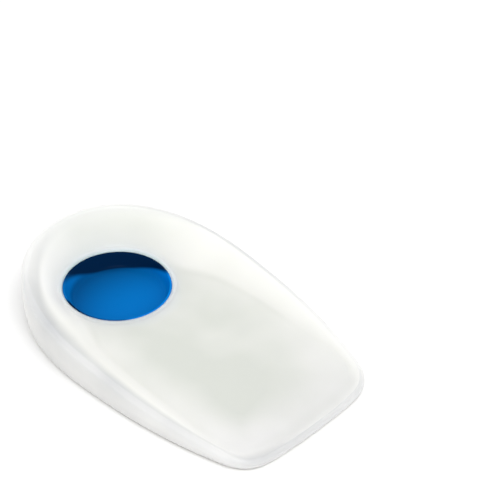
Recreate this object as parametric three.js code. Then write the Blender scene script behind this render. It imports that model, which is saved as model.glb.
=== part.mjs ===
// A gel heel cup: a moulded silicone body that cradles the heel inside a shoe, with a softer,
// dished gel spot set into its seat under the heel bone. All sizes are in millimetres.
// X runs from the heel (negative) to the front edge (positive), Y across the foot and Z up.
// The sole lies on Z = 0. Inside the functions x counts from the back of the sole.
import * as THREE from "three";

// Outline of the sole, seen from above.
const soleLength = 104;
const soleWidth = 67;
const widestFromHeel = 45;
const heelFullness = 0.62; // Bezier handle as a share: 0.552 is an ellipse, more is squarer
const sideFullness = 0.36;
const frontWidth = 51; // between the side lines where they would meet the front line
const sideToeIn = THREE.MathUtils.degToRad(15.7);
const frontBow = 2.1;
const cornerSetback = 7.5;

// Raised wall round the heel, which falls away to the front edge.
const heelWallHeight = 17.5;
const frontThickness = 2.7;
const wallFall = 0.86; // exponent of the rim's fall along the length
const wallFlare = 0.055; // outward lean of the outer face, per millimetre of height
const wallBulge = 0.5;
const rimThickness = 2.6;
const soleEdgeRadius = 1.8;

// How far the inner wall runs inwards from the rim before it meets the seat in a soft crease.
// Each row is a section: its place as a share of the sole's length, its run as a share of the
// greatest run, which lies beside the spot.
const greatestWallRun = 12;
const wallRunSections = [
  { along: 0, run: 0.5 },
  { along: 0.1, run: 0.72 },
  { along: 0.28, run: 1 },
  { along: 0.4, run: 0.74 },
  { along: 0.5, run: 0.62 },
  { along: 0.64, run: 0.5 },
  { along: 0.76, run: 0.37 },
  { along: 0.84, run: 0.2 },
  { along: 0.93, run: 0.2 },
  { along: 1, run: 0.35 },
];
const creaseSoftness = 0.22; // share of the run over which wall and seat blend, each way
const wallZone = 1.33; // share of the run that the rings of the inner wall cover

// Seat, the surface under the foot.
const heelBaseThickness = 6.2;
const frontBaseThickness = 2.4;
const thinningStart = 0.42; // share of the length behind which the base keeps its full thickness
const thinningCurve = 2;
const sideDish = 0.5;
const heelDish = 0.4;

// Well in the seat, and the soft spot moulded into it.
const spotLength = 32;
const spotWidth = 32.8;
const spotFromHeel = 24.7;
const wellFloorThickness = 1.0;
const lipWidth = 1.5;
const lipHeight = 0.3;
const spotClearance = 0.3;
const spotBaseThickness = 1.4;
const spotRimThickness = 0.9;
const spotEdgeRadius = 0.35;
const spotWallSlope = THREE.MathUtils.degToRad(68);
const spotFootRadius = 0.7;
const spotDish = 0.3;

// The rim's arc and the sole's edge each take at most this share of the height of a low rim.
const thinShare = 0.45;

// Fineness of the facets.
const stationsPerSide = 44;
const fineStationsPerSide = 200;
const edgeSteps = 3;
const rimSteps = 3; // up each side of the rim's arc
const wallRings = 8;
const wallZoneShare = 0.75; // share of the way to the spot that the wall rings may cover
const seatRings = 4;
const lipRings = 4;
const spotWallRings = 3;

const point = (x, y) => new THREE.Vector2(x, y);

// Half of the sole's outline, from the heel's back to the middle of the front edge.
function halfOutline() {
  const halfWidth = soleWidth / 2;
  const heel = point(0, 0);
  const widest = point(widestFromHeel, halfWidth);
  const corner = point(soleLength - frontBow, frontWidth / 2);
  const cornerStart = point(
    corner.x - cornerSetback * Math.cos(sideToeIn),
    corner.y + cornerSetback * Math.sin(sideToeIn),
  );
  const frontHandle = point(soleLength, corner.y / 2);
  const cornerEnd = corner
    .clone()
    .add(frontHandle.clone().sub(corner).setLength(cornerSetback));
  const sideHandle = sideFullness * (cornerStart.x - widest.x);
  const path = new THREE.CurvePath();
  path.add(
    new THREE.CubicBezierCurve(
      heel,
      point(0, heelFullness * halfWidth),
      point((1 - heelFullness) * widestFromHeel, halfWidth),
      widest,
    ),
  );
  path.add(
    new THREE.CubicBezierCurve(
      widest,
      point(widest.x + sideHandle, halfWidth),
      point(
        cornerStart.x - sideHandle * Math.cos(sideToeIn),
        cornerStart.y + sideHandle * Math.sin(sideToeIn),
      ),
      cornerStart,
    ),
  );
  path.add(new THREE.QuadraticBezierCurve(cornerStart, corner, cornerEnd));
  path.add(
    new THREE.QuadraticBezierCurve(
      cornerEnd,
      frontHandle,
      point(soleLength, 0),
    ),
  );
  return path;
}

// Evenly spaced stations round the whole sole: up one side from heel to front, back down the other.
function outlineStations(perSide) {
  const side = halfOutline().getSpacedPoints(perSide);
  const mirrored = side
    .slice(1, -1)
    .reverse()
    .map((p) => point(p.x, -p.y));
  const all = [...side, ...mirrored];
  return all.map((at, i) => {
    const before = all[(i + all.length - 1) % all.length];
    const after = all[(i + 1) % all.length];
    const along = after.clone().sub(before).normalize();
    return { at, inward: point(along.y, -along.x) };
  });
}

// Height of the rim above the sole: a power curve from the heel wall down to the front edge.
function rimHeight(x) {
  const left = THREE.MathUtils.clamp(1 - x / soleLength, 0, 1);
  return frontThickness + (heelWallHeight - frontThickness) * left ** wallFall;
}

// The inner wall's run at a place along the sole: a smooth curve through the table's sections.
function wallRun(x) {
  const rows = wallRunSections;
  const along = THREE.MathUtils.clamp(x / soleLength, 0, 1);
  const i = Math.max(1, rows.findIndex((row) => row.along >= along));
  const slopeAt = (k) => {
    const before = rows[Math.max(0, k - 1)];
    const after = rows[Math.min(rows.length - 1, k + 1)];
    return (after.run - before.run) / (after.along - before.along);
  };
  const [from, to] = [rows[i - 1], rows[i]];
  const gap = to.along - from.along;
  const t = (along - from.along) / gap;
  const share =
    (1 + 2 * t) * (1 - t) ** 2 * from.run +
    t * (1 - t) ** 2 * gap * slopeAt(i - 1) +
    t ** 2 * (3 - 2 * t) * to.run +
    t ** 2 * (t - 1) * gap * slopeAt(i);
  return greatestWallRun * share;
}

// Thickness of the base: full under the heel, thinning to the front, dished up to sides and back.
function baseHeight(x, y) {
  const past = THREE.MathUtils.clamp(
    (x / soleLength - thinningStart) / (1 - thinningStart),
    0,
    1,
  );
  const thinning = past ** thinningCurve;
  const base = THREE.MathUtils.lerp(
    heelBaseThickness,
    frontBaseThickness,
    thinning,
  );
  const across = (2 * y) / soleWidth;
  const behind = Math.max(0, 1 - x / widestFromHeel);
  return (
    base +
    sideDish * across ** 2 * (1 - thinning) +
    heelDish * behind ** 2
  );
}

// The rim's arc at a place along the sole: its radius, its centre's inset from the sole's outline
// and its height, the angle past its top at which the inner wall leaves it, and where that is.
function rimArc(x) {
  const height = rimHeight(x);
  const radius = Math.min(rimThickness / 2, thinShare * height);
  const inset = radius - wallFlare * (height - radius);
  const turnIn = Math.atan2(height - baseHeight(x, 0), wallRun(x) + radius);
  return {
    radius,
    inset,
    centreHeight: height - radius,
    turnIn,
    leaveInset: inset + radius * Math.sin(turnIn),
    leaveHeight: height - radius + radius * Math.cos(turnIn),
  };
}

const fineOutline = outlineStations(fineStationsPerSide).map((s) => s.at);

// Distance from (x, y) to the sole's outline, and how far along the nearest place on it is.
function nearestRim(x, y) {
  let best = Infinity;
  let along = 0;
  fineOutline.forEach((from, i) => {
    const to = fineOutline[(i + 1) % fineOutline.length];
    const run = to.clone().sub(from);
    const share = THREE.MathUtils.clamp(
      ((x - from.x) * run.x + (y - from.y) * run.y) / run.lengthSq(),
      0,
      1,
    );
    const nearX = from.x + share * run.x;
    const distance = Math.hypot(x - nearX, y - from.y - share * run.y);
    if (distance < best) {
      best = distance;
      along = nearX;
    }
  });
  return { distance: best, along };
}

// Height of the upper surface: the base, plus what is left of the wall's fall from the rim to the
// crease, rounded where it runs out.
function seatHeight(x, y) {
  const { distance, along } = nearestRim(x, y);
  const arc = rimArc(along);
  const base = baseHeight(x, y);
  const left = 1 - (distance - arc.leaveInset) / wallRun(along);
  let share = Math.max(0, left);
  if (Math.abs(left) < creaseSoftness) {
    share = (left + creaseSoftness) ** 2 / (4 * creaseSoftness);
  }
  return base + share * (arc.leaveHeight - base);
}

// A point of the spot's oval, grown by a margin, in the direction of an angle round its centre.
function spotOval(angle, margin) {
  return point(
    spotFromHeel + (spotLength / 2 + margin) * Math.cos(angle),
    (spotWidth / 2 + margin) * Math.sin(angle),
  );
}

const spotAngle = (p) => Math.atan2(p.y, p.x - spotFromHeel);

// A closed surface through rings of equal length, ending in one point below and one above.
function closedRings(first, rings, last) {
  const size = rings[0].length;
  const corners = [first, ...rings.flat(), last];
  const faces = [];
  for (let i = 0; i < size; i += 1) {
    const next = (i + 1) % size;
    faces.push(0, 1 + i, 1 + next);
    for (let r = 0; r + 1 < rings.length; r += 1) {
      const low = 1 + r * size;
      const high = low + size;
      faces.push(low + i, high + i, low + next);
      faces.push(low + next, high + i, high + next);
    }
    const top = 1 + (rings.length - 1) * size;
    faces.push(top + i, corners.length - 1, top + next);
  }
  const geometry = new THREE.BufferGeometry();
  geometry.setAttribute(
    "position",
    new THREE.Float32BufferAttribute(
      corners.flatMap((c) => [c.x, c.y, c.z]),
      3,
    ),
  );
  geometry.setIndex(faces);
  geometry.computeVertexNormals();
  return geometry;
}

const shares = (count) =>
  Array.from({ length: count }, (_, i) => (i + 1) / count);

// The section of the wall at a place along the sole, up the outer face and over the rim:
// pairs of inset from the sole's outline and height.
function wallSection(x) {
  const arc = rimArc(x);
  const height = rimHeight(x);
  const edge = Math.min(soleEdgeRadius, thinShare * height);
  const faceTop = arc.centreHeight;
  const soleEdge = [0, ...shares(edgeSteps)].map((share) => {
    const turn = (share * Math.PI) / 2;
    return [edge * (1 - Math.sin(turn)), edge * (1 - Math.cos(turn))];
  });
  const outerFace = shares(3)
    .slice(0, 2)
    .map((share) => {
      const z = edge + share * (faceTop - edge);
      const bulge = wallBulge * Math.sin(share * Math.PI) * (height / heelWallHeight);
      return [-wallFlare * faceTop * share - bulge, z];
    });
  const fromTop = [
    ...shares(rimSteps).map((share) => (share - 1 - 1 / rimSteps) * (Math.PI / 2)),
    0,
    ...shares(rimSteps).map((share) => share * arc.turnIn),
  ];
  const rim = fromTop.map((turn) => [
    arc.inset + arc.radius * Math.sin(turn),
    faceTop + arc.radius * Math.cos(turn),
  ]);
  return [...soleEdge, ...outerFace, ...rim];
}

function cupBody() {
  const stations = outlineStations(stationsPerSide);
  const sections = stations.map(({ at }) => wallSection(at.x));
  const wall = sections[0].map((_, k) =>
    stations.map(({ at, inward }, i) => {
      const [inset, z] = sections[i][k];
      return new THREE.Vector3(
        at.x + inset * inward.x,
        at.y + inset * inward.y,
        z,
      );
    }),
  );
  const rimInside = wall[wall.length - 1];
  const onSeat = (p) => new THREE.Vector3(p.x, p.y, seatHeight(p.x, p.y));
  const towards = (from, to, distance) =>
    onSeat(
      point(from.x, from.y).lerp(to, distance / Math.hypot(to.x - from.x, to.y - from.y)),
    );
  const lipEdge = stations.map(({ at }) => spotOval(spotAngle(at), lipWidth));
  const reach = rimInside.map((from, i) =>
    Math.hypot(lipEdge[i].x - from.x, lipEdge[i].y - from.y),
  );
  const zone = reach.map((length, i) =>
    Math.min(
      wallZone * wallRun(stations[i].at.x),
      wallZoneShare * length,
    ),
  );
  const slope = shares(wallRings).map((share) =>
    rimInside.map((from, i) => towards(from, lipEdge[i], share * zone[i])),
  );
  const seat = shares(seatRings).map((share) =>
    rimInside.map((from, i) =>
      towards(from, lipEdge[i], zone[i] + share * (reach[i] - zone[i])),
    ),
  );
  const lip = shares(lipRings).map((share) =>
    stations.map(({ at }) => {
      const p = onSeat(spotOval(spotAngle(at), (1 - share) * lipWidth));
      p.z += lipHeight * Math.sin(share * Math.PI);
      return p;
    }),
  );
  const wellFloor = stations.map(({ at }) => {
    const p = spotOval(spotAngle(at), 0);
    return new THREE.Vector3(p.x, p.y, wellFloorThickness);
  });
  return closedRings(
    new THREE.Vector3(spotFromHeel, 0, 0),
    [...wall, ...slope, ...seat, ...lip, wellFloor],
    new THREE.Vector3(spotFromHeel, 0, wellFloorThickness),
  );
}

// The section of the spot where its edge has a given height: pairs of inset from its outer side
// and height, from the underside up, over the rim and down the dish's wall to its floor.
function spotSection(top) {
  const underside = wellFloorThickness + spotClearance;
  const dishFloor = underside + spotBaseThickness;
  const depth = top - dishFloor;
  const wallTop = spotRimThickness;
  const foot = wallTop + depth / Math.tan(spotWallSlope) + spotFootRadius;
  const dishWall = shares(spotWallRings + 1)
    .slice(0, -1)
    .map((share) => [
      wallTop + (share * depth) / Math.tan(spotWallSlope),
      top - share * depth,
    ]);
  return [
    [spotEdgeRadius, underside],
    [0, underside + spotEdgeRadius],
    [0, top - spotEdgeRadius],
    [spotEdgeRadius, top],
    [wallTop - spotEdgeRadius / 2, top],
    ...dishWall,
    [foot, dishFloor],
    [spotWidth / 4, dishFloor - spotDish / 2],
  ];
}

// The soft spot: a shallow oval dish that fills the well and rises flush with the seat round it.
function gelSpot() {
  const angles = outlineStations(stationsPerSide).map(({ at }) => spotAngle(at));
  const sections = angles.map((angle) => {
    const edge = spotOval(angle, 0);
    return spotSection(seatHeight(edge.x, edge.y));
  });
  const rings = sections[0].map((_, k) =>
    angles.map((angle, i) => {
      const [inset, z] = sections[i][k];
      const p = spotOval(angle, -spotClearance - inset);
      return new THREE.Vector3(p.x, p.y, z);
    }),
  );
  const underside = sections[0][0][1];
  const dishFloor = underside + spotBaseThickness;
  return closedRings(
    new THREE.Vector3(spotFromHeel, 0, underside),
    rings,
    new THREE.Vector3(spotFromHeel, 0, dishFloor - spotDish),
  );
}

const gel = new THREE.MeshStandardMaterial({
  color: 0xeef0ea,
  roughness: 0.35,
  metalness: 0,
});
const softGel = new THREE.MeshStandardMaterial({
  color: 0x0068b8,
  roughness: 0.3,
  metalness: 0,
});

const body = new THREE.Mesh(cupBody(), gel);
body.name = "cup_body";
const spot = new THREE.Mesh(gelSpot(), softGel);
spot.name = "gel_spot";

// The group is centred on its length, which the flared heel wall makes longer than the sole.
const bounds = new THREE.Box3().setFromBufferAttribute(
  body.geometry.getAttribute("position"),
);
const heelCup = new THREE.Group();
heelCup.add(body, spot);
heelCup.position.x = -(bounds.min.x + bounds.max.x) / 2;

export default heelCup;
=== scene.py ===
import math
import bpy
import numpy as np
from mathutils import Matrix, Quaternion, Vector


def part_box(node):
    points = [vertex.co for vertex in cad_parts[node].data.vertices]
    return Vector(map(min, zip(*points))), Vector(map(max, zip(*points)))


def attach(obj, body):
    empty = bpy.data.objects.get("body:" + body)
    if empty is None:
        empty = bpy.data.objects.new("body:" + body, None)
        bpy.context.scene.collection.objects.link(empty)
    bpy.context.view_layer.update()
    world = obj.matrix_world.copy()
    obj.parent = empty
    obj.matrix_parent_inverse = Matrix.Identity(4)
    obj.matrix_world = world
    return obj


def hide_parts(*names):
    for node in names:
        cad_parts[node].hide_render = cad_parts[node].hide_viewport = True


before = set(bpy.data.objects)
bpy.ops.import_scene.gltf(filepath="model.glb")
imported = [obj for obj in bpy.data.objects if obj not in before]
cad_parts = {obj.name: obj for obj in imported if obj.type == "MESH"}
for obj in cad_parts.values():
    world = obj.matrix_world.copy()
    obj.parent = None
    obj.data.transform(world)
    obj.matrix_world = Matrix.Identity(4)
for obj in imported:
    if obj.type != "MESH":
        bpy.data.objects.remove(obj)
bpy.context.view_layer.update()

# Cup
# The cup is one moulding of milky silicone gel, cast face down in an open mould. A flat sole
# carries a seat that is thick under the heel and thins to the front edge, and a wall that is
# highest behind the heel runs round it and leans slightly outwards to a round rim.
MM = 0.001
# The sole's outline: lengths in mm, and how full its curves are as shares.
SOLE_LENGTH = 104.0
SOLE_WIDTH = 67.0
WIDEST_FROM_HEEL = 45.0
HEEL_FULLNESS = 0.62
SIDE_FULLNESS = 0.36
FRONT_WIDTH = 51.0
SIDE_TOE_IN = math.radians(15.7)
FRONT_BOW = 2.1
CORNER_SETBACK = 7.5
# The wall round it, from the sole's edge over the rim and down to the crease.
HEEL_WALL_HEIGHT = 17.5
FRONT_THICKNESS = 2.7
WALL_FALL = 0.86
WALL_FLARE = 0.055
WALL_BULGE = 0.5
RIM_THICKNESS = 2.6
SOLE_EDGE_RADIUS = 1.8
THIN_SHARE = 0.45
GREATEST_WALL_RUN = 12.0
WALL_RUN_ALONG = (0, 0.1, 0.28, 0.4, 0.5, 0.64, 0.76, 0.84, 0.93, 1)
WALL_RUN_SHARE = (0.5, 0.72, 1, 0.74, 0.62, 0.5, 0.37, 0.2, 0.2, 0.35)
CREASE_SOFTNESS = 0.22
WALL_ZONE = 1.33
WALL_ZONE_SHARE = 0.75
# The thickness of the base under the seat, and how it thins and dishes.
HEEL_BASE = 6.2
FRONT_BASE = 2.4
THINNING_START = 0.42
THINNING_CURVE = 2.0
SIDE_DISH = 0.5
HEEL_DISH = 0.4
# The spot's oval, its well and the soft lip round it.
SPOT_LENGTH = 32.0
SPOT_WIDTH = 32.8
SPOT_FROM_HEEL = 24.7
WELL_FLOOR = 1.0
WELL_EDGE_DEPTH = 1.0
LIP_WIDTH = 1.5
LIP_HEIGHT = 0.3
# The mesh: stations round the outline, and rings up, over and down into the cup.
SOLE_BORDER = 0.4
STATIONS = 384
QUARTER_RINGS = 9
FACE_RINGS = 12
RIM_RINGS = 7
WALL_RINGS = 24
SEAT_RINGS = 16
LIP_RINGS = 8
# The back of the heel lies as far behind the spot's middle as the solids have it.
SPOT_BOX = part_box("gel_spot")
HEEL_X = (SPOT_BOX[0].x + SPOT_BOX[1].x) / 2 / MM - SPOT_FROM_HEEL


def bezier(*corners, steps=160):
    """Points on a Bezier curve: neighbouring corners are blended by t until one point is left."""
    t = np.linspace(0, 1, steps)[:, None]
    rows = [np.array(corner, float) for corner in corners]
    while len(rows) > 1:
        rows = [(1 - t) * a + t * b for a, b in zip(rows, rows[1:])]
    return rows[0]


def half_outline():
    """One side of the sole from the heel to the middle of the front edge, as four Bezier curves:
    the round heel, the side that toes in, the front corner and the bowed front edge."""
    half = SOLE_WIDTH / 2
    widest = np.array([WIDEST_FROM_HEEL, half])
    corner = np.array([SOLE_LENGTH - FRONT_BOW, FRONT_WIDTH / 2])
    toe_in = np.array([math.cos(SIDE_TOE_IN), -math.sin(SIDE_TOE_IN)])
    side_end = corner - CORNER_SETBACK * toe_in
    handle = SIDE_FULLNESS * (side_end[0] - WIDEST_FROM_HEEL)
    front_handle = np.array([SOLE_LENGTH, corner[1] / 2])
    along_front = (front_handle - corner) / np.linalg.norm(front_handle - corner)
    front_start = corner + CORNER_SETBACK * along_front
    heel = bezier((0, 0), (0, HEEL_FULLNESS * half), ((1 - HEEL_FULLNESS) * widest[0], half), widest)
    side = bezier(widest, widest + (handle, 0), side_end - handle * toe_in, side_end)
    round_corner = bezier(side_end, corner, front_start)
    front = bezier(front_start, front_handle, (SOLE_LENGTH, 0))
    return np.vstack([heel, side[1:], round_corner[1:], front[1:]])


def outline(stations):
    """Evenly spaced places round the sole and the direction inwards at each, which is the
    direction along the edge turned by a right angle."""
    side = half_outline()
    step = np.linalg.norm(np.diff(side, axis=0), axis=1)
    length = np.concatenate([[0], np.cumsum(step)])
    even = np.linspace(0, length[-1], stations // 2 + 1)
    at = np.column_stack([np.interp(even, length, side[:, k]) for k in (0, 1)])
    at = np.vstack([at, at[-2:0:-1] * (1, -1)])
    along = np.roll(at, -1, axis=0) - np.roll(at, 1, axis=0)
    along /= np.linalg.norm(along, axis=1)[:, None]
    return at, np.column_stack([along[:, 1], -along[:, 0]])


def rim_height(x):
    """The front thickness plus the rest of the heel wall's height times a power of what is left
    of the length."""
    remaining = np.clip(1 - x / SOLE_LENGTH, 0, 1)
    return FRONT_THICKNESS + (HEEL_WALL_HEIGHT - FRONT_THICKNESS) * remaining**WALL_FALL


def wall_run(x):
    """How far the inner wall runs inwards: a cubic through the sections, with the slope at each
    taken from its neighbours."""
    rows = np.array(WALL_RUN_ALONG, float)
    runs = np.array(WALL_RUN_SHARE, float)
    before = np.maximum(np.arange(len(rows)) - 1, 0)
    after = np.minimum(np.arange(len(rows)) + 1, len(rows) - 1)
    slopes = (runs[after] - runs[before]) / (rows[after] - rows[before])
    along = np.clip(x / SOLE_LENGTH, 0, 1)
    i = np.clip(np.searchsorted(rows, along), 1, len(rows) - 1)
    gap = rows[i] - rows[i - 1]
    t = (along - rows[i - 1]) / gap
    level = (1 + 2 * t) * (1 - t) ** 2 * runs[i - 1] + t**2 * (3 - 2 * t) * runs[i]
    lean = t * (1 - t) ** 2 * gap * slopes[i - 1] + t**2 * (t - 1) * gap * slopes[i]
    return GREATEST_WALL_RUN * (level + lean)


def base_height(x, y):
    """The base is thick under the heel and thins by a power curve towards the front. Squares of
    the distance across and of the distance behind the widest place dish it."""
    past = np.clip((x / SOLE_LENGTH - THINNING_START) / (1 - THINNING_START), 0, 1)
    thinning = past**THINNING_CURVE
    across = 2 * y / SOLE_WIDTH
    behind = np.maximum(0, 1 - x / WIDEST_FROM_HEEL)
    base = HEEL_BASE + (FRONT_BASE - HEEL_BASE) * thinning
    return base + SIDE_DISH * across**2 * (1 - thinning) + HEEL_DISH * behind**2


def rim_arc(x):
    """The rim's radius, its centre's inset and height, and the angle past its top at which the
    inner wall leaves it: the angle of the fall from the rim to the seat."""
    height = rim_height(x)
    radius = np.minimum(RIM_THICKNESS / 2, THIN_SHARE * height)
    inset = radius - WALL_FLARE * (height - radius)
    turn_in = np.arctan2(height - base_height(x, 0), wall_run(x) + radius)
    return radius, inset, height - radius, turn_in


RIM_AT, RIM_INWARD = outline(STATIONS)


def nearest_rim(x, y):
    """Distance to the sole's outline and how far along its nearest place is: each point is
    dropped on every straight stretch of the outline, and the shortest drop is kept."""
    start = RIM_AT
    stretch = np.roll(RIM_AT, -1, axis=0) - start
    dx = x[..., None] - start[:, 0]
    dy = y[..., None] - start[:, 1]
    share = (dx * stretch[:, 0] + dy * stretch[:, 1]) / (stretch**2).sum(axis=1)
    share = np.clip(share, 0, 1)
    distance = np.hypot(dx - share * stretch[:, 0], dy - share * stretch[:, 1])
    best = distance.argmin(axis=-1)
    nearest = np.take_along_axis(share, best[..., None], -1)[..., 0]
    along = start[best, 0] + nearest * stretch[best, 0]
    return distance.min(axis=-1), along


def seat_height(x, y):
    """The base plus what is left of the wall's fall from the rim to the crease. The share that
    is left runs out along a parabola instead of a corner."""
    distance, along = nearest_rim(x, y)
    radius, inset, centre, turn_in = rim_arc(along)
    leave_inset = inset + radius * np.sin(turn_in)
    leave_height = centre + radius * np.cos(turn_in)
    base = base_height(x, y)
    remaining = 1 - (distance - leave_inset) / wall_run(along)
    rounded = (remaining + CREASE_SOFTNESS) ** 2 / (4 * CREASE_SOFTNESS)
    share = np.where(np.abs(remaining) < CREASE_SOFTNESS, rounded, np.maximum(0, remaining))
    return base + share * (leave_height - base)


def spot_oval(angle, margin):
    """The spot's oval, grown by a margin: half its length along and half its width across."""
    x = SPOT_FROM_HEEL + (SPOT_LENGTH / 2 + margin) * np.cos(angle)
    y = (SPOT_WIDTH / 2 + margin) * np.sin(angle)
    return x, y


SPOT_ANGLE = np.arctan2(RIM_AT[:, 1], RIM_AT[:, 0] - SPOT_FROM_HEEL)


def wall_rings():
    """Rings up the sole's round edge, the outer face and the rim's arc, each a pair of inset
    from the outline and height at every station."""
    x = RIM_AT[:, 0]
    height = rim_height(x)
    radius, inset, centre, turn_in = rim_arc(x)
    edge = np.minimum(SOLE_EDGE_RADIUS, THIN_SHARE * height)
    quarter = np.linspace(0, math.pi / 2, QUARTER_RINGS)[:, None]
    sole_inset = np.vstack([edge + SOLE_BORDER, edge * (1 - np.sin(quarter))])
    sole_z = np.vstack([np.zeros_like(edge), edge * (1 - np.cos(quarter))])
    share = np.linspace(0, 1, FACE_RINGS + 2)[1:-1, None]
    bulge = WALL_BULGE * np.sin(share * math.pi) * height / HEEL_WALL_HEIGHT
    face_inset = -WALL_FLARE * centre * share - bulge
    face_z = edge + share * (centre - edge)
    inner_turn = np.linspace(0, 1, RIM_RINGS)[:, None] * turn_in
    turn = np.vstack([quarter[:-1] - math.pi / 2 + 0 * x, inner_turn])
    rim_inset = inset + radius * np.sin(turn)
    rim_z = centre + radius * np.cos(turn)
    insets = np.vstack([sole_inset, face_inset, rim_inset])
    heights = np.vstack([sole_z, face_z, rim_z])
    return insets, heights


def cup_rings():
    """All the cup's rings, from the sole's edge over the rim, down the inner wall, across the
    seat and over the lip to the well's floor."""
    insets, heights = wall_rings()
    wall = np.dstack([RIM_AT + insets[..., None] * RIM_INWARD, heights[..., None]])
    start = wall[-1, :, :2]
    lip_edge = np.column_stack(spot_oval(SPOT_ANGLE, LIP_WIDTH))
    reach = np.linalg.norm(lip_edge - start, axis=1)
    zone = np.minimum(WALL_ZONE * wall_run(RIM_AT[:, 0]), WALL_ZONE_SHARE * reach) / reach
    down_wall = np.linspace(0, 1, WALL_RINGS + 1)[1:, None] * zone
    across_seat = zone + np.linspace(0, 1, SEAT_RINGS + 1)[1:, None] * (1 - zone)
    share = np.vstack([down_wall, across_seat])[..., None]
    seat = (1 - share) * start + share * lip_edge
    seat_z = seat_height(seat[..., 0], seat[..., 1])
    lip_share = np.linspace(1, 0, LIP_RINGS + 1)[1:, None]
    lip_x, lip_y = spot_oval(SPOT_ANGLE, lip_share * LIP_WIDTH)
    lip_z = seat_height(lip_x, lip_y) + LIP_HEIGHT * np.sin(lip_share * math.pi)
    well_x, well_y = spot_oval(SPOT_ANGLE, 0 * lip_share[:2])
    well_top = seat_height(well_x[:1], well_y[:1])
    well_z = np.vstack([well_top - WELL_EDGE_DEPTH, WELL_FLOOR + 0 * well_x[:1]])
    return np.vstack([
        wall,
        np.dstack([seat, seat_z]),
        np.dstack([lip_x, lip_y, lip_z]),
        np.dstack([well_x, well_y, well_z]),
    ])


def closed_rings(name, first, rings, last):
    """A closed surface through rings of equal length, between a point below and one above:
    neighbouring rings are joined by quads, and the end points by fans of triangles."""
    count, size = rings.shape[:2]
    corners = np.vstack([first, rings.reshape(-1, 3), last])
    here = np.arange(size)
    following = np.roll(here, -1)
    low = 1 + size * np.arange(count - 1)[:, None]
    quads = np.dstack([low + here, low + size + here, low + size + following, low + following])
    foot = np.column_stack([0 * here, 1 + here, 1 + following])
    top = 1 + (count - 1) * size
    head = np.column_stack([top + here, 0 * here + len(corners) - 1, top + following])
    mesh = bpy.data.meshes.new(name)
    faces = foot.tolist() + quads.reshape(-1, 4).tolist() + head.tolist()
    mesh.from_pydata((corners + (HEEL_X, 0, 0)) * MM, [], faces)
    mesh.shade_smooth()
    piece = bpy.data.objects.new(name, mesh)
    bpy.context.scene.collection.objects.link(piece)
    return piece


def point_attribute(piece, name, values):
    """A number at every vertex, for the material to read."""
    layer = piece.data.attributes.new(name, "FLOAT", "POINT")
    layer.data.foreach_set("value", np.asarray(values, np.float32).ravel())


def smooth_step(value, low, high):
    """Runs from 0 at the low value to 1 at the high one, level at both ends."""
    t = np.clip((value - low) / (high - low), 0, 1)
    return t**2 * (3 - 2 * t)


# How strongly the gel's tints show: shares of the full tint, what the heel, the front and the spot
# add to them or take away, and the stretches over which they do. Only part of the grey is the gel's
# depth: the sides, the heel and the spot's surround are greyed or lightened as painted shade and
# painted light. These are in mm along the cup from the heel, across it, inwards from its outline or
# outwards from the spot, and only the crease's is in shares of the wall's run.
HEEL_END = (8, 35)
LEFT_START = (-22, 4)
FRONT_START = (60, 98)
RIGHT_FRONT_START = (65, 100)
WALL_CORE = 0.3
LEFT_HEEL_CORE = 0.3
FRONT_CORE = -0.12
LEFT_FRONT_CORE = 0.35
SEAT_BORDER_CORE = 0.5
RIGHT_FRONT_LOSS = 0.35
RIGHT_HEEL_LOSS = 0.8
SEAT_DEEPENS = (6, 28)
RIGHT_FRONT_SHORTER = 11
CREASE = (0.85, 1.1)
LIP_FADE = (0.3, 2)
HEEL_SPOT_LOSS = 0.5
HEEL_SPOT_REACH = 8
GLOW_REACH = 0.8


def gel_depth_and_shade(distance, along, margin, heel, left):
    """How grey the milky gel is at each place: partly how deep the gel lies behind it, partly
    painted shade and painted light. The wall has a small share, which the heel and the front change
    on either side. Past the crease the seat's takes over, which grows with the distance from the
    outline, is changed on the right at the front and lightened on the right of the heel. It runs out
    at the spot's lip, and sooner at the heel, where that lightening is painted light."""
    radius, inset, centre, turn_in = rim_arc(along)
    past = (distance - inset - radius * np.sin(turn_in)) / wall_run(along)
    # Painted shade and painted light: the left side and the right of the heel and front are greyed
    # or lightened for how the lamp falls on them.
    right_heel = (1 - left) * heel
    right_front = (1 - left) * smooth_step(along, *RIGHT_FRONT_START)
    wall = WALL_CORE * (1 - right_heel) + LEFT_HEEL_CORE * left * heel
    wall += (FRONT_CORE + LEFT_FRONT_CORE * left) * smooth_step(along, *FRONT_START)
    border = SEAT_BORDER_CORE - RIGHT_FRONT_LOSS * right_front
    deepest = SEAT_DEEPENS[1] - RIGHT_FRONT_SHORTER * right_front
    seat = border + (1 - border) * smooth_step(distance, SEAT_DEEPENS[0], deepest)
    seat *= 1 - RIGHT_HEEL_LOSS * right_heel
    depth_and_shade = wall + (seat - wall) * smooth_step(past, *CREASE)
    depth_and_shade *= smooth_step(margin, *LIP_FADE)
    # Painted light: the gel is lighter near the spot at the heel.
    return depth_and_shade * (1 - HEEL_SPOT_LOSS * heel * (1 - smooth_step(margin, 0, HEEL_SPOT_REACH)))


# The outer face's painted shade, a grey laid on it and the rim for their shade: its share at places
# in mm along the cup, and the rings between which it comes in up the face. The last two say how many
# rings past the rim's crest it starts to fade and is gone: on the right side, then what the left
# side and the right of the heel add.
EDGE_ALONG = (0, 30, 60, 95, 103)
EDGE_SHARE = (0.3, 0.87, 0.64, 0.42, 0.8)
LEFT_EDGE_LOSS = 0.15
EDGE_START = 3
EDGE_FOOT = 11
EDGE_FOOT_SHARE = 0.6
BAND_FADES = (3, -4, 12)
BAND_ENDS = (20, -13, 3)


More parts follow.
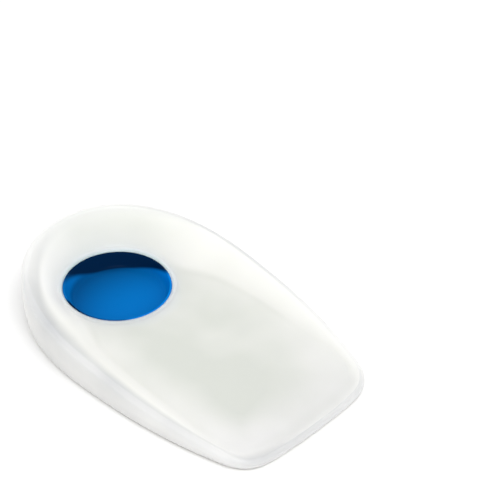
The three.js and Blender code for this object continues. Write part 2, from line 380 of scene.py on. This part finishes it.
def gel_edge_shade(ring, along, heel, left):
    """The painted shade's share along the cup, a little less on the left, times how far up the outer
    face a ring is, first round the sole's edge and then up to the crest, times a fade from the rim
    down the inner wall, which is long on the right side and short on the left."""
    right_heel = (1 - left) * heel
    crest = len(wall_rings()[0]) - RIM_RINGS
    upwards = EDGE_FOOT_SHARE * smooth_step(ring, EDGE_START, EDGE_FOOT)
    upwards += (1 - EDGE_FOOT_SHARE) * smooth_step(ring, EDGE_FOOT, crest - 1)
    fades = BAND_FADES[0] + BAND_FADES[1] * left + BAND_FADES[2] * right_heel
    ends = BAND_ENDS[0] + BAND_ENDS[1] * left * (1 - heel / 2) + BAND_ENDS[2] * right_heel
    inwards = 1 - smooth_step(ring - crest, fades, ends)
    return np.interp(along, EDGE_ALONG, EDGE_SHARE) * (1 - LEFT_EDGE_LOSS * left) * upwards * inwards


def gel_shades(rings):
    """Three shares at every place: the milky gel's grey, which is partly its depth and partly
    painted shade and painted light, the outer face's painted shade, and the spot's painted glow,
    which dies away exponentially with the distance from the spot, taking its oval as a stretched
    circle. The first and the glow are only inside the rim's crest."""
    x, y = rings[..., 0], rings[..., 1]
    distance, along = nearest_rim(x, y)
    across = np.hypot((x - SPOT_FROM_HEEL) / (SPOT_LENGTH / 2), y / (SPOT_WIDTH / 2))
    margin = np.maximum(0, across - 1) * SPOT_LENGTH / 2
    heel = 1 - smooth_step(along, *HEEL_END)
    left = smooth_step(y, *LEFT_START)
    ring = np.arange(len(rings))[:, None] + 0 * x
    inside = ring > len(wall_rings()[0]) - RIM_RINGS
    depth_and_shade = inside * gel_depth_and_shade(distance, along, margin, heel, left)
    # Painted glow: a pale blue light painted round the spot, fading outwards.
    glow = inside * np.exp(-margin / GLOW_REACH)
    return depth_and_shade, gel_edge_shade(ring, along, heel, left), glow


def srgb(code):
    """The linear colour of an sRGB hex code, channel by channel, with full opacity."""
    channels = np.array([int(code[i:i + 2], 16) for i in (1, 3, 5)]) / 255
    linear = np.where(channels <= 0.04045, channels / 12.92, ((channels + 0.055) / 1.055) ** 2.4)
    return (*linear.tolist(), 1.0)


def new_material(name):
    """A material with nothing but its output, and that output's node."""
    material = bpy.data.materials.new(name)
    material.use_nodes = True
    material.node_tree.nodes.clear()
    return material, material.node_tree.nodes.new("ShaderNodeOutputMaterial")


def node(material, kind, settings=(), links=(), **sockets):
    """Adds a node: settings are its properties, sockets its input values by name with an
    underscore for each space, and links pairs of input name and the socket that feeds it."""
    made = material.node_tree.nodes.new("ShaderNode" + kind)
    for key, value in dict(settings).items():
        setattr(made, key, value)
    for key, value in sockets.items():
        made.inputs[key.replace("_", " ")].default_value = value
    for key, source in dict(links).items():
        material.node_tree.links.new(source, made.inputs[key])
    return made


def silicone_gel():
    """Moulded translucent silicone gel: light goes in and comes out some millimetres away, so thin
    places look bright and thick ones a little grey-green, under the satin gloss that a mould leaves.
    That grey-green also carries painted shade and painted light. A grey painted shade lies on the
    outer face and rim, and a pale blue painted glow lies in the gel beside the blue spot."""
    thin = "#f6f5f1"
    thick = "#d4d7d0"
    # line is the grey of the painted shade on the outer face and rim; glow is the pale blue of the
    # painted glow round the spot.
    line = "#b2b4b7"
    glow = "#def7ff"
    cloud_size = 24 * MM
    ripple_size = 5 * MM
    gel, out = new_material("milky_silicone_gel")
    place = node(gel, "TexCoord").outputs["Object"]
    shades = {name: node(gel, "Attribute", {"attribute_name": name}).outputs["Fac"]
              for name in ("depth_and_shade", "edge", "glow")}
    clouds = node(gel, "TexNoise", links={"Vector": place}, Scale=1 / cloud_size, Detail=2.0,
                  Roughness=0.45)
    cloudy = node(gel, "MapRange", links={"Value": clouds.outputs["Fac"]}, From_Min=0.3,
                  From_Max=0.7, To_Min=0.7, To_Max=1.25)
    milky = node(gel, "Math", {"operation": "MULTIPLY"},
                 {0: shades["depth_and_shade"], 1: cloudy.outputs["Result"]})
    tint = node(gel, "Mix", {"data_type": "RGBA"}, {"Factor": milky.outputs["Value"]})
    tint.inputs["A"].default_value = srgb(thin)
    tint.inputs["B"].default_value = srgb(thick)
    outer = node(gel, "Math", {"operation": "MULTIPLY"},
                 {0: shades["edge"], 1: cloudy.outputs["Result"]})
    lined = node(gel, "Mix", {"data_type": "RGBA"},
                 {"Factor": outer.outputs["Value"], "A": tint.outputs["Result"]})
    lined.inputs["B"].default_value = srgb(line)
    # Painted glow round the spot.
    glowing = node(gel, "Mix", {"data_type": "RGBA"},
                   {"Factor": shades["glow"], "A": lined.outputs["Result"]})
    glowing.inputs["B"].default_value = srgb(glow)
    ripples = node(gel, "TexNoise", links={"Vector": place}, Scale=1 / ripple_size, Detail=1.0)
    bump = node(gel, "Bump", links={"Height": ripples.outputs["Fac"]}, Strength=0.05,
                Distance=0.3 * MM)
    shader = node(gel, "BsdfPrincipled",
                  links={"Base Color": glowing.outputs["Result"], "Normal": bump.outputs["Normal"]},
                  Roughness=0.34, IOR=1.41, Subsurface_Weight=0.9, Subsurface_Scale=10 * MM,
                  Subsurface_Radius=(1.0, 1.0, 0.95), Coat_Weight=0.1, Coat_Roughness=0.2)
    gel.node_tree.links.new(shader.outputs["BSDF"], out.inputs["Surface"])
    return gel


body_rings = cup_rings()
cup = closed_rings("cup_moulding", (SPOT_FROM_HEEL, 0, 0), body_rings,
                   (SPOT_FROM_HEEL, 0, WELL_FLOOR))
for name, share in zip(("depth_and_shade", "edge", "glow"), gel_shades(body_rings)):
    point_attribute(cup, name, np.pad(share.ravel(), 1, mode="edge"))
cup.data.materials.append(silicone_gel())
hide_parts("cup_body")
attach(cup, "root")

# Heel spot
# A dish of softer, deep blue silicone gel is cast into the well under the heel bone. Its wall
# drops steeply from an edge that is flush with the seat to a thin, nearly flat floor.
SPOT_GAP = 0.06
SPOT_BOTTOM = 1.2
DISH_FLOOR = 2.7
DISH_SAG = 0.3
SPOT_EDGE_RADIUS = 0.35
SPOT_UNDER_EDGE = 0.1
DISH_SLOPE = math.radians(67)
DISH_LEAN = math.radians(17)
FOOT_RADIUS = 0.4
ARC_RINGS = 8
DISH_WALL_RINGS = 10
FOOT_RINGS = 11
FLOOR_RINGS = 10


def spot_rings():
    """The spot's section at every angle, as insets from its side and heights: up the side, over
    a round edge, down the dish's wall, round its foot by a parabola and in to the middle. The
    wall is steep at the front and gentle at the heel: its slope follows the angle's cosine."""
    edge_x, edge_y = spot_oval(SPOT_ANGLE, 0)
    top = seat_height(edge_x, edge_y)
    depth = top - DISH_FLOOR
    slope = DISH_SLOPE + DISH_LEAN * np.cos(SPOT_ANGLE)
    foot = 2 * SPOT_EDGE_RADIUS + depth / np.tan(slope)
    side_inset = np.array([[SPOT_EDGE_RADIUS], [SPOT_UNDER_EDGE], [0], [0]]) + 0 * top
    under_edge = SPOT_BOTTOM + np.array([[0], [SPOT_UNDER_EDGE], [SPOT_EDGE_RADIUS]]) + 0 * top
    side_z = np.vstack([under_edge, top - SPOT_EDGE_RADIUS])
    arc = np.linspace(0, 1, ARC_RINGS + 1)[1:, None] * (math.pi / 2 + slope)
    arc_inset = SPOT_EDGE_RADIUS * (1 - np.cos(arc))
    arc_z = top - SPOT_EDGE_RADIUS * (1 - np.sin(arc))
    fall = np.linspace(0, 1, DISH_WALL_RINGS + 2)[1:-1, None] * (foot - FOOT_RADIUS - arc_inset[-1])
    wall_inset = arc_inset[-1] + fall
    wall_z = arc_z[-1] - fall * np.tan(slope)
    t = np.linspace(0, 1, FOOT_RINGS + 1)[1:, None]
    foot_z = DISH_FLOOR + 0 * top
    foot_end = foot + 2 * FOOT_RADIUS
    round_inset = (1 - t) ** 2 * wall_inset[-1] + 2 * t * (1 - t) * foot + t**2 * foot_end
    round_z = (1 - t) ** 2 * wall_z[-1] + 2 * t * (1 - t) * foot_z + t**2 * foot_z
    inner = np.linspace(0, 1, FLOOR_RINGS + 2)[1:-1, None]
    floor_inset = round_inset[-1] + inner * (SPOT_LENGTH / 2 - round_inset[-1])
    floor_z = DISH_FLOOR - DISH_SAG * inner * (2 - inner) + 0 * top
    insets = np.vstack([side_inset, arc_inset, wall_inset, round_inset, floor_inset])
    heights = np.vstack([side_z, arc_z, wall_z, round_z, floor_z])
    x, y = spot_oval(SPOT_ANGLE, -SPOT_GAP - insets)
    return np.dstack([x, y, heights])


# Depths of pigmented gel in mm, or in mm for each mm of height where the front wall is lightened,
# and the stretches in mm over which they change: along or across the spot from its middle, or up
# from the dish's floor. Apart from the floor's own depth they are painted shade and painted light:
# the heel's extra depth, the dark crescent high on one side and the dark line along the right of the
# rim are painted shade, and the lightening up the front wall is painted light.
HEEL_SHADE_DEPTH = 0.75
HEEL_SHADE_ALONG = (9, -14)
HEEL_SHADE_UP = (0.3, 2)
FRONT_WALL_LIGHTENING = 0.4
LIGHTENING_ALONG = (-4, 8)
CRESCENT_SHADE_DEPTH = 3.2
CRESCENT_SHADE_FALL = 4.8
CRESCENT_SHADE_SIDE = math.radians(142)
CRESCENT_SHADE_UP = (-0.9, 1.1)
CRESCENT_SHADE_FOOT = (-0.12, 0.35)
CRESCENT_SHADE_RIGHT_SHARE = 0.4
CRESCENT_SHADE_ACROSS = (-9, 1)
RIM_SHADE_DEPTH = 2.0
RIM_SHADE_UP = (2.5, 3.2)
RIM_SHADE_LEAN = 0.4
RIM_SHADE_ACROSS = (12, 15)


def blue_depth_and_shade(rings):
    """Depth of blue at each place: the floor's own thickness, a little more towards the heel as
    painted shade, less up the front wall as painted light, and much more above a slanting line that
    is lowest on one side and rises from it by one minus the angle's cosine, a painted shade that
    draws a dark crescent. A thin line along the right of the rim has more as well, also painted
    shade."""
    x, y, z = rings[..., 0] - SPOT_FROM_HEEL, rings[..., 1], rings[..., 2]
    above = np.maximum(0, z - DISH_FLOOR)
    # Painted shade: deeper blue towards the heel.
    heel = HEEL_SHADE_DEPTH * smooth_step(x, *HEEL_SHADE_ALONG) * (1 - smooth_step(above, *HEEL_SHADE_UP))
    # Painted shade: the dark crescent high on one side of the dish.
    line = CRESCENT_SHADE_FALL * (1 - np.cos(SPOT_ANGLE - CRESCENT_SHADE_SIDE))
    crescent_shade = CRESCENT_SHADE_DEPTH * smooth_step(above - line, *CRESCENT_SHADE_UP)
    crescent_shade *= smooth_step(z - DISH_FLOOR, *CRESCENT_SHADE_FOOT)
    crescent_shade *= CRESCENT_SHADE_RIGHT_SHARE + (1 - CRESCENT_SHADE_RIGHT_SHARE) * smooth_step(y, *CRESCENT_SHADE_ACROSS)
    # Painted shade: a thin dark line along the right of the rim.
    rim = RIM_SHADE_DEPTH * smooth_step(above, *RIM_SHADE_UP)
    rim *= smooth_step(RIM_SHADE_LEAN * x - y, *RIM_SHADE_ACROSS)
    # Painted light: the front wall gets lighter the higher it rises.
    thinning = FRONT_WALL_LIGHTENING * above * smooth_step(x, *LIGHTENING_ALONG)
    return np.minimum(z, DISH_FLOOR) - SPOT_BOTTOM - thinning + heel + crescent_shade + rim


def blue_gel():
    """Silicone gel cast with blue pigment: it is bright where a thin floor lies over the milky gel
    and nearly navy where the pigment is thick, and the same blend also carries painted shade and
    painted light. Its skin is smooth, but so soft and dark that it shows hardly any gloss."""
    thin = "#007dd4"
    thick = "#001f40"
    ripple_size = 4 * MM
    gel, out = new_material("blue_silicone_gel")
    place = node(gel, "TexCoord").outputs["Object"]
    depth = node(gel, "Attribute", {"attribute_name": "thickness"}).outputs["Fac"]
    share = node(gel, "MapRange", {"interpolation_type": "SMOOTHSTEP"}, {"Value": depth},
                 From_Min=0.2, From_Max=3.4)
    tint = node(gel, "Mix", {"data_type": "RGBA"}, {"Factor": share.outputs["Result"]})
    tint.inputs["A"].default_value = srgb(thin)
    tint.inputs["B"].default_value = srgb(thick)
    ripples = node(gel, "TexNoise", links={"Vector": place}, Scale=1 / ripple_size, Detail=1.0)
    bump = node(gel, "Bump", links={"Height": ripples.outputs["Fac"]}, Strength=0.05,
                Distance=0.2 * MM)
    shader = node(gel, "BsdfPrincipled",
                  links={"Base Color": tint.outputs["Result"], "Normal": bump.outputs["Normal"]},
                  Roughness=0.25, IOR=1.41, Specular_IOR_Level=0.02)
    gel.node_tree.links.new(shader.outputs["BSDF"], out.inputs["Surface"])
    return gel


dish_rings = spot_rings()
spot = closed_rings("spot_moulding", (SPOT_FROM_HEEL, 0, SPOT_BOTTOM), dish_rings,
                    (SPOT_FROM_HEEL, 0, DISH_FLOOR - DISH_SAG))
# The blue's depth, with painted shade and painted light in it.
thickness = blue_depth_and_shade(dish_rings)
point_attribute(spot, "thickness", np.pad(thickness.ravel(), 1, mode="edge"))
spot.data.materials.append(blue_gel())
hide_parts("gel_spot")
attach(spot, "root")

# Floor and light
# The floor is a large sheet of matt white paper in an even, bright white surround. One round
# soft lamp hangs high up, ahead of the cup's front edge.
FLOOR_SIZE = 8.0
FLOOR_DROP = 0.0002
LAMP_AZIMUTH = math.radians(65)
LAMP_HEIGHT = math.radians(64)
LAMP_DISTANCE = 1.2
LAMP_SIZE = 0.6
LAMP_POWER = 4.5
SURROUND = 0.9


def direction(azimuth, elevation):
    """The way from the object to a place at that azimuth, 0 being in front, and elevation."""
    level = math.cos(elevation)
    return Vector((math.sin(azimuth) * level, -math.cos(azimuth) * level, math.sin(elevation)))


half = FLOOR_SIZE / 2
floor_mesh = bpy.data.meshes.new("studio_floor")
floor_mesh.from_pydata([(-half, -half, -FLOOR_DROP), (half, -half, -FLOOR_DROP),
                        (half, half, -FLOOR_DROP), (-half, half, -FLOOR_DROP)], [], [(0, 1, 2, 3)])
floor = bpy.data.objects.new("studio_floor", floor_mesh)
bpy.context.scene.collection.objects.link(floor)
# Uncoated paper, pressed smooth: it scatters all light evenly and has no gloss.
paper, paper_out = new_material("matt_white_paper")
paper_shader = node(paper, "BsdfDiffuse", Color=srgb("#f8f8f8"))
paper.node_tree.links.new(paper_shader.outputs["BSDF"], paper_out.inputs["Surface"])
floor_mesh.materials.append(paper)

lamp_data = bpy.data.lights.new("soft_lamp", "AREA")
lamp_data.shape = "DISK"
lamp_data.size = LAMP_SIZE
lamp_data.energy = LAMP_POWER
lamp = bpy.data.objects.new("soft_lamp", lamp_data)
lamp.location = direction(LAMP_AZIMUTH, LAMP_HEIGHT) * LAMP_DISTANCE
lamp.rotation_mode = "QUATERNION"
lamp.rotation_quaternion = lamp.location.to_track_quat("Z", "Y")
bpy.context.scene.collection.objects.link(lamp)

surround = bpy.data.worlds.new("surround")
surround.use_nodes = True
sky = surround.node_tree.nodes["Background"]
sky.inputs["Color"].default_value = (1, 1, 1, 1)
sky.inputs["Strength"].default_value = SURROUND
bpy.context.scene.world = surround
bpy.context.scene.view_settings.view_transform = "Standard"

# Camera
# A long lens looks down on the cup from between its front edge and its right side. The sole's
# middle lies at a named pixel of the picture, so the lens is turned off it by that angle.
PICTURE_WIDTH = 500
PICTURE_HEIGHT = 489
SOLE_MIDDLE_PIXEL = (182.3, 344.8)
VIEW_AZIMUTH = math.radians(44.86)
VIEW_ELEVATION = math.radians(41)
VIEW_ROLL = math.radians(0.51)
VIEW_DISTANCE = 515.5 * MM
PIXELS_PER_MM = 3.446
SENSOR_WIDTH = 36.0

focal_pixels = PIXELS_PER_MM * VIEW_DISTANCE / MM
sole_middle = Vector(((HEEL_X + SOLE_LENGTH / 2) * MM, 0, 0))
back = direction(VIEW_AZIMUTH, VIEW_ELEVATION)
to_pixel = Vector((SOLE_MIDDLE_PIXEL[0] - PICTURE_WIDTH / 2,
                   PICTURE_HEIGHT / 2 - SOLE_MIDDLE_PIXEL[1], -focal_pixels))
look = (-back).to_track_quat("-Z", "Y")
roll = Quaternion((0, 0, 1), VIEW_ROLL)
lens = bpy.data.cameras.new("camera")
lens.sensor_fit = "HORIZONTAL"
lens.sensor_width = SENSOR_WIDTH
lens.lens = SENSOR_WIDTH * focal_pixels / PICTURE_WIDTH
camera = bpy.data.objects.new("camera", lens)
camera.location = sole_middle + back * VIEW_DISTANCE
camera.rotation_mode = "QUATERNION"
camera.rotation_quaternion = look @ roll @ to_pixel.rotation_difference(Vector((0, 0, -1)))
bpy.context.scene.collection.objects.link(camera)
bpy.context.scene.camera = camera
